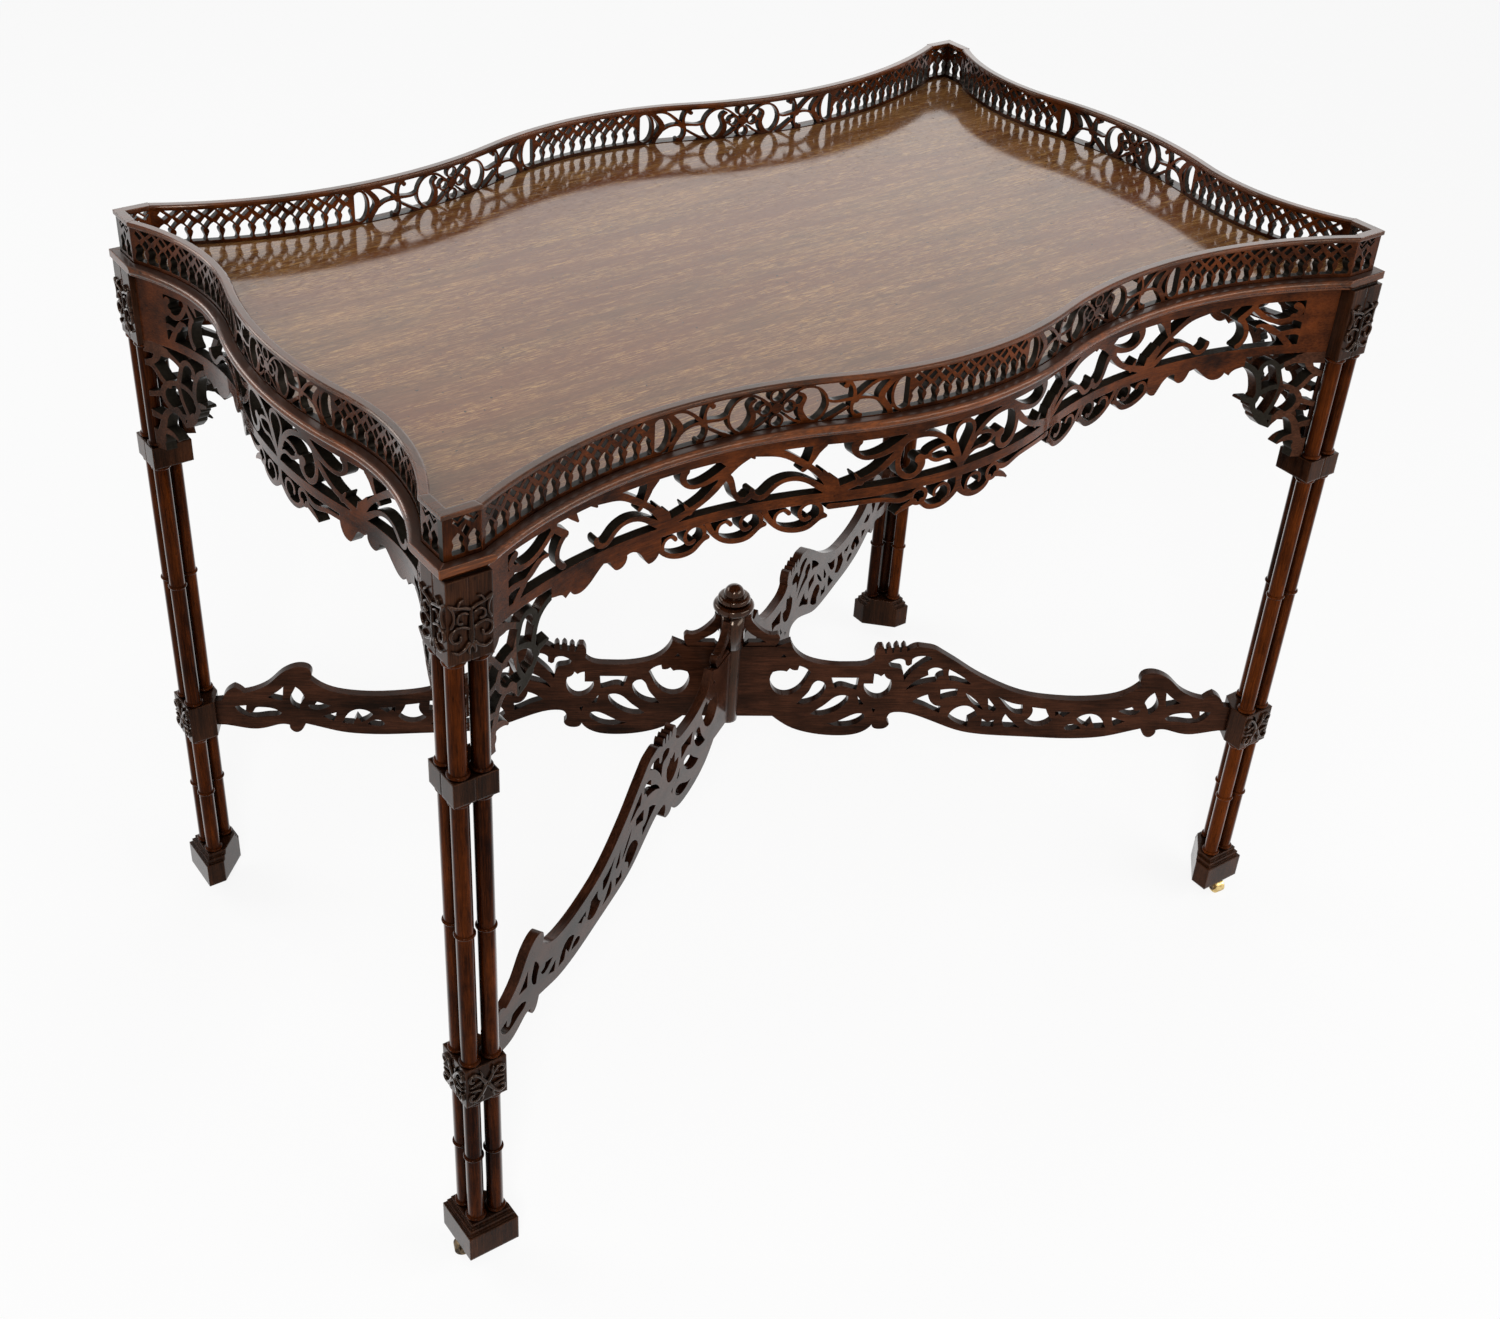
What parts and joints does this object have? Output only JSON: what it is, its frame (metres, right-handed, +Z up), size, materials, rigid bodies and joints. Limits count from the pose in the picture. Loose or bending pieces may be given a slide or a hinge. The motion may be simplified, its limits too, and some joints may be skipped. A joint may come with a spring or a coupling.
{
  "type": "carved tea table with a pierced gallery",
  "caption": "Serpentine-edged wooden tea table with pierced gallery and aprons, clustered column legs, crossed scroll stretcher and hidden castors.",
  "frame": {"origin": "on the floor under the middle of the table top", "axes": "+X along the long sides, +Y from front to back, +Z up"},
  "size_m": [0.939, 0.6074, 0.746],
  "materials": {
    "wood": "polished dark red-brown",
    "brass": "worn, softly polished",
    "steel": "dull screw heads"
  },
  "bodies": {
    "table": {"apron_back": "wood", "apron_front": "wood", "apron_left": "wood", "apron_right": "wood", "brackets_back_left": "wood", "brackets_back_right": "wood", "brackets_front_left": "wood", "brackets_front_right": "wood", "cap_rail_back": "wood", "cap_rail_front": "wood", "cap_rail_left": "wood", "cap_rail_right": "wood", "castor_plates": "brass", "castor_screws": "steel", "corner_caps": "wood", "edge_moulding_back": "wood", "edge_moulding_front": "wood", "edge_moulding_left": "wood", "edge_moulding_right": "wood", "finial": "wood", "foot_back_left": "wood", "foot_back_right": "wood", "foot_front_left": "wood", "foot_front_right": "wood", "gallery_back": "wood", "gallery_corner_back_left": "wood", "gallery_corner_back_right": "wood", "gallery_corner_front_left": "wood", "gallery_corner_front_right": "wood", "gallery_front": "wood", "gallery_left": "wood", "gallery_right": "wood", "hub_ears": "wood", "hub_post": "wood", "leg_collars": "wood", "leg_columns_back_left": "wood", "leg_columns_back_right": "wood", "leg_columns_front_left": "wood", "leg_columns_front_right": "wood", "leg_top_block_back_left": "wood", "leg_top_block_back_right": "wood", "leg_top_block_front_left": "wood", "leg_top_block_front_right": "wood", "stretcher_arm_back_left": "wood", "stretcher_arm_back_right": "wood", "stretcher_arm_front_left": "wood", "stretcher_arm_front_right": "wood", "stretcher_block_back_left": "wood", "stretcher_block_back_right": "wood", "stretcher_block_front_left": "wood", "stretcher_block_front_right": "wood", "top_board": "wood"},
    "fork_front_left": {"castor_fork_front_left": "brass"},
    "wheel_front_left": {"castor_wheel_front_left": "brass"},
    "fork_front_right": {"castor_fork_front_right": "brass"},
    "wheel_front_right": {"castor_wheel_front_right": "brass"},
    "fork_back_right": {"castor_fork_back_right": "brass"},
    "wheel_back_right": {"castor_wheel_back_right": "brass"},
    "fork_back_left": {"castor_fork_back_left": "brass"},
    "wheel_back_left": {"castor_wheel_back_left": "brass"}
  },
  "joints": [
    {"name": "swivel_front_left", "type": "hinge", "parent": "table", "child": "fork_front_left", "pos_m": [-0.4474, -0.2815, 0.019], "axis": [0, 0, 1], "continuous": true},
    {"name": "roll_front_left", "type": "hinge", "parent": "fork_front_left", "child": "wheel_front_left", "pos_m": [-0.46149, -0.27637, 0.0075], "axis": [-0.342, -0.9397, 0], "continuous": true},
    {"name": "swivel_front_right", "type": "hinge", "parent": "table", "child": "fork_front_right", "pos_m": [0.4474, -0.2815, 0.019], "axis": [0, 0, 1], "continuous": true},
    {"name": "roll_front_right", "type": "hinge", "parent": "fork_front_right", "child": "wheel_front_right", "pos_m": [0.44609, -0.29644, 0.0075], "axis": [0.9962, -0.0872, 0], "continuous": true},
    {"name": "swivel_back_right", "type": "hinge", "parent": "table", "child": "fork_back_right", "pos_m": [0.4474, 0.2815, 0.019], "axis": [0, 0, 1], "continuous": true},
    {"name": "roll_back_right", "type": "hinge", "parent": "fork_back_right", "child": "wheel_back_right", "pos_m": [0.46039, 0.289, 0.0075], "axis": [-0.5, 0.866, 0], "continuous": true},
    {"name": "swivel_back_left", "type": "hinge", "parent": "table", "child": "fork_back_left", "pos_m": [-0.4474, 0.2815, 0.019], "axis": [0, 0, 1], "continuous": true},
    {"name": "roll_back_left", "type": "hinge", "parent": "fork_back_left", "child": "wheel_back_left", "pos_m": [-0.4399, 0.29449, 0.0075], "axis": [-0.866, 0.5, 0], "continuous": true}
  ]
}
